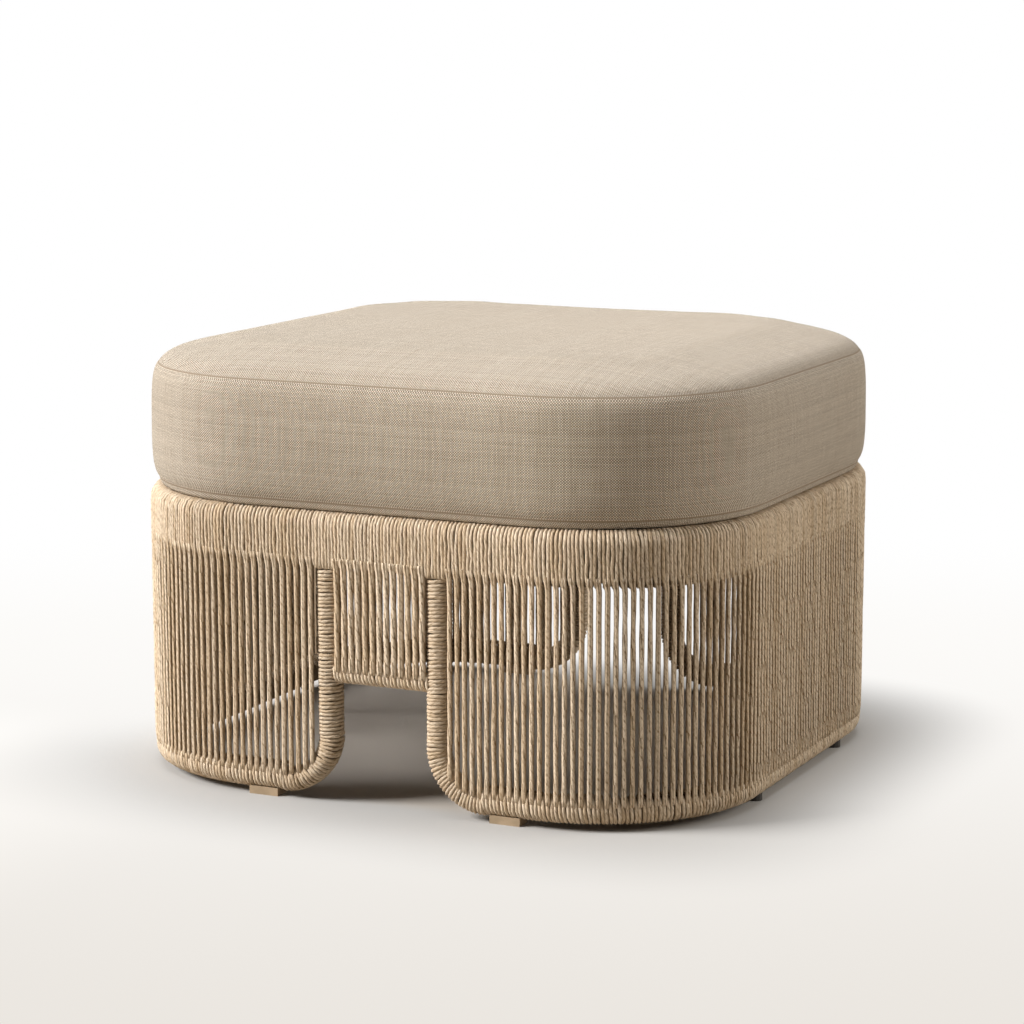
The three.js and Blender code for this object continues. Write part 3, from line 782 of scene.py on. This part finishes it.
for i in range(bend_turns):
    turn = math.pi / 2 * (i + 0.5) / bend_turns
    x = -post_x - bend_radius + bend_radius * math.cos(turn)
    z = tube_height + bend_radius - bend_radius * math.sin(turn)
    place = (x, -(half_depth - tube_inset), z)
    rise = {"taller": 0.0, "shut": (0, 0, 0)}
    rail_stations["face"].add(place, (0, -1, 0), (math.cos(turn), 0, -math.sin(turn)), **rise)
for stretch in ("face", "corner", "side"):
    count = strand_count[stretch]
    for i in range(2 * count + (stretch == "side")):
        (x, y), (out_x, out_y) = on_outline(stretch, i / (2 * count))
        bend_across = x + post_x + bend_radius if stretch == "face" else 0.0
        if bend_across > 0:
            continue
        place = (x - tube_inset * out_x, y - tube_inset * out_y, tube_height)
        rise = turn_rise(i, out_x, out_y)
        rail_stations[stretch].add(place, (out_x, out_y, 0), (0, 0, 1), **rise)
    for i in range(count):
        (x, y), (out_x, out_y) = on_outline(stretch, (i + 0.5) / count)
        bend_across = max(0.0, x + post_x + bend_radius) if stretch == "face" else 0.0
        fall = math.sqrt(max(0.0, bend_radius**2 - bend_across**2))
        strand_stations[stretch].add(
            (x, y, 0),
            (out_x, out_y, 0),
            (0, 0, 1),
            foot=tube_height + bend_radius - fall,
            foot_inset=tube_inset,
            foot_radius=turn_radius,
            lean=fall / bend_radius,
        )
doubled = {
    "Cord": 0.0048,
    "Sides": 5,
    "Steps": 20,
    "Top": 0.2465,
    "End Spread": head_shift,
    "Spread": 0.00042,
    "Shortest Lay": 0.075,
    "Longest Lay": 0.13,
    "Wander": 0.0016,
    "Finish": cord_finish,
}
rail_turn = {**round_turn, "Corner": turn_squareness * turn_radius}
for seed, (quarter, signs) in enumerate(quarters.items()):
    for part, stretch in enumerate(("face", "corner", "side")):
        number = 31 + 3 * seed + part
        places = rail_stations[stretch].mesh(*signs, shared_end=stretch == "side")
        turns = grow("turns", turn_tree, places, {**rail_turn, "Seed": number})
        places = strand_stations[stretch].mesh(*signs)
        strands = grow("strands", strand_tree, places, {**doubled, "Seed": number + 20})
        name = f"{quarter}_{stretch}_strands"
        add_piece(f"{quarter}_{stretch}_cord", [turns, strands], "base", "cord", name)

# Bridge strands
# Short strands between the two posts of the front and of the back, down to a thin bar that is
# wound like the bottom rail.
bar_height, bar_inset, bar_turn_radius, bar_turns = 0.130, 0.0095, 0.00685, 26
bridge_reach = 0.0503
bar_stations, bridge_stations = Stations(), Stations()
for i in range(bar_turns + 1):
    x = bridge_reach * (2 * i / bar_turns - 1)
    place = (x, -(half_depth - bar_inset), bar_height)
    bar_stations.add(place, (0, -1, 0), (0, 0, 1), **turn_rise(i, 0, -1))
for i in range(strand_count["bridge"]):
    x = bridge_reach * (2 * (i + 0.5) / strand_count["bridge"] - 1)
    bridge_stations.add(
        (x, -half_depth, 0),
        (0, -1, 0),
        (0, 0, 1),
        foot=bar_height,
        foot_inset=bar_inset,
        foot_radius=bar_turn_radius,
        lean=1.0,
    )
bar_turn = {**round_turn, "Width": 2 * bar_turn_radius, "Height": 2 * bar_turn_radius}
bar_turn["Corner"], bar_turn["Lower Corner"] = turn_squareness * bar_turn_radius, bar_turn_radius
for seed, (name, signs) in enumerate({"front": (1, 1), "back": (1, -1)}.items()):
    turns = grow("turns", turn_tree, bar_stations.mesh(*signs), {**bar_turn, "Seed": 71 + seed})
    bridge_cord = {**doubled, "Cord": 0.0058, "Spread": 0.0006, "Seed": 81 + seed}
    strands = grow("strands", strand_tree, bridge_stations.mesh(*signs), bridge_cord)
    add_piece(f"{name}_bridge_cord", [turns, strands], "base", "cord", f"{name}_bridge_strands")

# Cushion
# A loose boxed cushion: a round-cornered top and bottom panel and an upright boxing, sewn
# with two plain seams from beige basket-weave outdoor fabric, and filled tight with foam.
cover_finish, w = new_finish("cushion_fabric")
thread = 0.00128
place = w.node("ShaderNodeUVMap", {"uv_map": "cloth"})
place_x = w.node("ShaderNodeSeparateXYZ", {}, {"Vector": place})
place_y = place_x.other("Y")
stray = w.noise(place, 90.0, 2.0)
place_x = place_x * (1.0 / thread) + stray * 0.7
place_y = place_y * (1.0 / thread) + w.noise(place, 90.0, 2.0, 5.0) * 0.7
warp_round = (place_x * math.pi).math("SINE", place_x * math.pi)
weft_round = (place_y * math.pi).math("SINE", place_y * math.pi)
over = warp_round * weft_round
warp_top = over.math("GREATER_THAN", over, 0.0)
warp_round = warp_round.math("ABSOLUTE", warp_round)
weft_round = weft_round.math("ABSOLUTE", weft_round)
long_warp = warp_round * weft_round.math("POWER", weft_round, 0.45)
long_weft = weft_round * warp_round.math("POWER", warp_round, 0.45)
pile = long_warp * warp_top + long_weft * (1.0 - warp_top)
warp_line = place_x.math("FLOOR", place_x)
weft_line = place_y.math("FLOOR", place_y)
by_line = {"noise_dimensions": "1D"}
warp_shade = w.node("ShaderNodeTexWhiteNoise", by_line, {"W": warp_line}, "Value")
weft_shade = w.node("ShaderNodeTexWhiteNoise", by_line, {"W": weft_line + 0.5}, "Value")
melange = warp_shade * warp_top + weft_shade * (1.0 - warp_top)
slub = {"X": warp_line * 0.9, "Y": place_y * 0.06, "Z": 0.0}
slub = w.noise(w.node("ShaderNodeCombineXYZ", {}, slub), 1.0, 1.0)
cloud = w.noise(place, 14.0, 3.0)
weft_slub = {"X": place_x * 0.05, "Y": weft_line * 0.9, "Z": 7.0}
weft_slub = w.noise(w.node("ShaderNodeCombineXYZ", {}, weft_slub), 1.0, 1.0)
tint = melange * 0.25 + slub * 0.35 + weft_slub * 0.3 + cloud * 0.1
light_yarn = tint.ramp(0.25, 0.75).blend((0.80, 0.715, 0.615, 1), (1.0, 0.94, 0.85, 1))
dark_yarn = tint.ramp(0.25, 0.75).blend((0.20, 0.15, 0.10, 1), (0.50, 0.415, 0.325, 1))
yarn = warp_top.blend(dark_yarn, light_yarn)
# Painted shade: where the weave's relief is low, in the hollows between the yarns, the colour goes
# to a deep brown.
shaded_weave = pile.ramp(0.04, 0.55).blend((0.14, 0.10, 0.065, 1), yarn)
# Painted shade: a thin dark line along each seam stands in for the shade in the seam's groove.
seam = w.node("ShaderNodeAttribute", {"attribute_name": "from_seam"}, out="Fac")
colour = seam.ramp(0.0001, 0.0006).blend((0.32, 0.25, 0.185, 1), shaded_weave)
relief = w.node("ShaderNodeBump", {}, {"Strength": 0.6, "Distance": 0.0006, "Height": pile})
cover = w.node(
    "ShaderNodeBsdfPrincipled",
    {},
    {
        "Base Color": colour,
        "Roughness": pile.ramp(0.0, 1.0, 0.95, 0.82),
        "Normal": relief,
        "Specular IOR Level": 0.25,
        "Sheen Weight": 0.15,
        "Sheen Roughness": 0.5,
    },
)
finish_with(w, cover)

cushion_width, cushion_depth, cushion_corner = 0.647, 0.609, 0.176
seam_low, seam_high, crown = 0.3002, 0.4156, 0.0265
side_bulge, top_reach, low_reach = 0.0095, 0.002, 0.003
rest_height, deck_height = 0.2909, 0.2838
crown_flatness, crown_round, bulge_flatness, reach_flatness = 16, 0.53, 5, 8
roll_width, roll_round, sag_start, sag_run = 0.008, 2.6, 0.0135, 0.011
start_inset, swell_cap, cloth_steps, smoothing_rounds = 0.003, 0.005, 20, 10
seam_sink, upper_seam_dip, lower_seam_lift = 0.0005, 0.0004, 0.0003
side_cells, grid_share, rim_run, rim_gap = 64, 0.44, 0.175, 0.178
half_x, half_y = cushion_width / 2, cushion_depth / 2


def round_outline(cells):
    """Evenly spaced points on the panel's outline, their outward directions and run."""
    straights = (cushion_depth, cushion_width, cushion_depth, cushion_width)
    points, outs = [], []
    for q, whole in enumerate(straights):
        middle = math.pi / 2 * q
        ease = cushion_corner * math.pi / 4
        straight = whole - 2 * cushion_corner
        run = np.arange(cells) / cells * (2 * ease + straight)
        turn = np.clip(run / cushion_corner - math.pi / 4, -math.pi / 4, 0)
        turn += np.clip((run - ease - straight) / cushion_corner, 0, math.pi / 4)
        slide = np.clip(run - ease, 0, straight)
        reach = (half_x, half_y, half_x, half_y)[q] - cushion_corner
        out_reach = reach + cushion_corner * np.cos(turn)
        side_reach = slide - straight / 2 + cushion_corner * np.sin(turn)
        cosine, sine = math.cos(middle), math.sin(middle)
        rotation = np.array(((cosine, -sine), (sine, cosine)))
        points.append(np.stack((out_reach, side_reach), -1) @ rotation.T)
        outs.append(np.stack((np.cos(turn), np.sin(turn)), -1) @ rotation.T)
    points, outs = np.concatenate(points), np.concatenate(outs)
    step = np.linalg.norm(np.roll(points, -1, 0) - points, axis=1)
    return points, outs, np.concatenate(([0], np.cumsum(step)))


def outline_share(points):
    """How far each point is from the middle, as a share of the outline that way."""
    low, high = np.zeros(len(points)), np.full(len(points), 1.5)
    for _ in range(40):
        share = (low + high) / 2
        reach = np.abs(points) / np.maximum(share, 1e-6)[:, None]
        reach -= np.array((half_x, half_y)) - cushion_corner
        gap = np.linalg.norm(np.maximum(reach, 0), axis=1) + np.minimum(reach.max(axis=1), 0)
        inside = gap < cushion_corner
        low, high = np.where(inside, low, share), np.where(inside, share, high)
    return share


outline, outward, outline_run = round_outline(side_cells)
ring_size = len(outline)
grid_steps = np.linspace(-grid_share, grid_share, side_cells + 1)
grid = [(x * cushion_width, y * cushion_depth) for y in grid_steps for x in grid_steps]
grid = np.array(grid) * 0.5
row = side_cells + 1
edge = [n * row + side_cells for n in range(side_cells)]
edge += [side_cells * row + n for n in range(side_cells, 0, -1)]
edge += [n * row for n in range(side_cells, 0, -1)]
edge += list(range(side_cells))
seam_rows = np.array((0.0014, 0.0042, 0.009))
panel_rows = np.concatenate((np.linspace(0, 0.92, 19)[1:], 1 - seam_rows[::-1] / rim_run, (1.0,)))
height = seam_high - seam_low
box_middle = np.linspace(0.016, height - 0.016, 12)
box_rows = np.concatenate((seam_rows, box_middle, height - seam_rows[::-1]))


def panel_height(points, upper):
    """How high a panel lies: the crown, or the underside on the rail and lower on the deck."""
    share = np.clip(outline_share(points), 0, 1)
    if upper:
        return seam_high + crown * (1 - share**crown_flatness) ** crown_round
    inset = (1 - share) * half_x
    bend = np.clip((inset - sag_start) / sag_run, 0, 1)
    roll = np.clip(1 - inset / roll_width, 0, 1)
    rise = (seam_low - rest_height) * (1 - (1 - roll**roll_round) ** (1 / roll_round))
    return rest_height + rise - (rest_height - deck_height) * bend * bend * (3 - 2 * bend)


rings, ring_gaps = [], []
for share in panel_rows:
    flat = grid[edge] * (1 - share) + outline * share
    flat_out = flat + outward * top_reach * share**reach_flatness
    rings.append(np.column_stack((flat_out, panel_height(flat, True))))
    ring_gaps.append(rim_gap * (1 - share))
seam_rings = [len(rings) - 1]
for down in box_rows:
    puff = side_bulge * (1 - abs(2 * down / height - 1) ** bulge_flatness)
    puff += top_reach + (low_reach - top_reach) * down / height
    rings.append(np.column_stack((outline + outward * puff, np.full(ring_size, seam_high - down))))
    ring_gaps.append(min(down, height - down))
seam_rings.append(len(rings))
for share in panel_rows[::-1]:
    flat = grid[edge] * (1 - share) + outline * share
    flat_out = flat + outward * low_reach * share**reach_flatness
    rings.append(np.column_stack((flat_out, panel_height(flat, False))))
    ring_gaps.append(rim_gap * (1 - share))
for ring in seam_rings:
    rings[ring][:, :2] -= outward * seam_sink
rings[seam_rings[0]][:, 2] -= upper_seam_dip
rings[seam_rings[1]][:, 2] += lower_seam_lift
grid_count = len(grid)
upper_grid = np.column_stack((grid, panel_height(grid, True)))
lower_grid = np.column_stack((grid, panel_height(grid, False)))
points = np.concatenate((upper_grid, *rings, lower_grid))
ring_index = [np.array(edge)]
ring_index += [grid_count + np.arange(ring_size) + ring_size * n for n in range(len(rings))]
ring_index.append(np.array(edge) + grid_count + ring_size * len(rings))
spread = points[:, :2].copy()
for chain in (ring_index[: seam_rings[0] + 2], ring_index[: seam_rings[1] : -1]):
    slack = np.zeros(ring_size)
    for near, far in zip(chain, chain[1:]):
        step = points[far] - points[near]
        slack += np.linalg.norm(step, axis=1) - np.linalg.norm(step[:, :2], axis=1)
        spread[far] += outward * slack[:, None]
faces, cloth_places = [], []
for j in range(side_cells):
    for i in range(side_cells):
        a = j * row + i
        quad = (a, a + 1, a + row + 1, a + row)
        faces.append(quad)
        cloth_places += [points[v, :2] for v in quad]
        quad = tuple(v + grid_count + ring_size * len(rings) for v in quad[::-1])
        faces.append(quad)
        cloth_places += [points[v, :2] for v in quad]
for n, (near, far) in enumerate(zip(ring_index, ring_index[1:])):
    boxed = seam_rings[0] + 1 <= n <= seam_rings[1]
    for j in range(ring_size):
        k = (j + 1) % ring_size
        quad = (near[j], far[j], far[k], near[k])
        faces.append(tuple(int(v) for v in quad))
        if boxed:
            runs = (outline_run[j], outline_run[j], outline_run[j + 1], outline_run[j + 1])
            cloth_places += [(run, points[v, 2]) for run, v in zip(runs, quad)]
        else:
            cloth_places += [spread[v] for v in quad]

# from_seam is each point's distance from the nearest seam, which the fabric finish uses for its
# painted seam shade.
from_seam = np.full(len(points), 0.2)
for ring, gap in enumerate(ring_gaps):
    from_seam[ring_index[ring + 1]] = gap
pinned = np.zeros(len(points), bool)
pinned[ring_index[seam_rings[1] + 1][0] :] = True
pinned[ring_index[seam_rings[0] + 1]] = True
mesh = bpy.data.meshes.new("cushion_cover")
mesh.from_pydata([tuple(p) for p in points], [], faces)
cloth_places = np.array(cloth_places, np.float32).ravel()
mesh.uv_layers.new(name="cloth").uv.foreach_set("vector", cloth_places)
seam_gaps = mesh.attributes.new("from_seam", "FLOAT", "POINT")
seam_gaps.data.foreach_set("value", from_seam.astype(np.float32))
for face in mesh.polygons:
    face.use_smooth = True
mesh.materials.append(cover_finish)
cushion = bpy.data.objects.new("cushion_cover", mesh)
bpy.context.scene.collection.objects.link(cushion)
normals = np.empty(len(points) * 3, np.float32)
mesh.vertices.foreach_get("normal", normals)
away_from_seam = np.clip(from_seam / 0.02, 0, 1)[:, None] * ~pinned[:, None]
start = points - normals.reshape(-1, 3) * start_inset * away_from_seam
settled = start
mesh.vertices.foreach_set("co", start.astype(np.float32).ravel())
held = cushion.vertex_groups.new(name="held")
held.add([int(v) for v in np.flatnonzero(pinned)], 1.0, "REPLACE")
cloth = cushion.modifiers.new("cloth", "CLOTH")
cloth.settings.quality = 6
cloth.settings.mass = 0.25
cloth.settings.tension_stiffness = cloth.settings.compression_stiffness = 20
cloth.settings.bending_stiffness = 0.6
cloth.settings.use_pressure = True
cloth.settings.uniform_pressure_force = 4.0
cloth.settings.vertex_group_mass = "held"
cloth.settings.effector_weights.gravity = 0
cloth.collision_settings.use_collision = False
cloth.point_cache.frame_start, cloth.point_cache.frame_end = 1, cloth_steps
for step in range(1, cloth_steps + 1):
    bpy.context.scene.frame_set(step)
ready = cushion.evaluated_get(bpy.context.evaluated_depsgraph_get())
settled = np.empty(len(points) * 3, np.float32)
ready.data.vertices.foreach_get("co", settled)
settled = settled.reshape(-1, 3).astype(float)
cushion.modifiers.clear()
cushion.vertex_groups.clear()
bpy.context.scene.frame_set(1)
moved = settled - start
near_faces = np.array(faces)
for _ in range(smoothing_rounds):
    shared, count = np.zeros_like(moved), np.zeros(len(points))
    for corner in range(4):
        for step in (1, 3):
            np.add.at(shared, near_faces[:, corner], moved[near_faces[:, (corner + step) % 4]])
            np.add.at(count, near_faces[:, corner], 1)
    moved = np.where(pinned[:, None], moved, shared / np.maximum(count, 1)[:, None])
length = np.maximum(np.linalg.norm(moved, axis=1), 1e-9)[:, None]
final = start + moved / length * swell_cap * np.tanh(length / swell_cap)
mesh.vertices.foreach_set("co", final.astype(np.float32).ravel())
mesh.update()
rounding = cushion.modifiers.new("rounding", "SUBSURF")
rounding.levels = rounding.render_levels = 1
ready = cushion.evaluated_get(bpy.context.evaluated_depsgraph_get())
rounded = bpy.data.meshes.new_from_object(ready)
cushion.modifiers.clear()
cushion.data = rounded
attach(cushion, "cushion")
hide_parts("cushion_top_cover", "cushion_boxing", "cushion_bottom_cover", "cushion_foam")
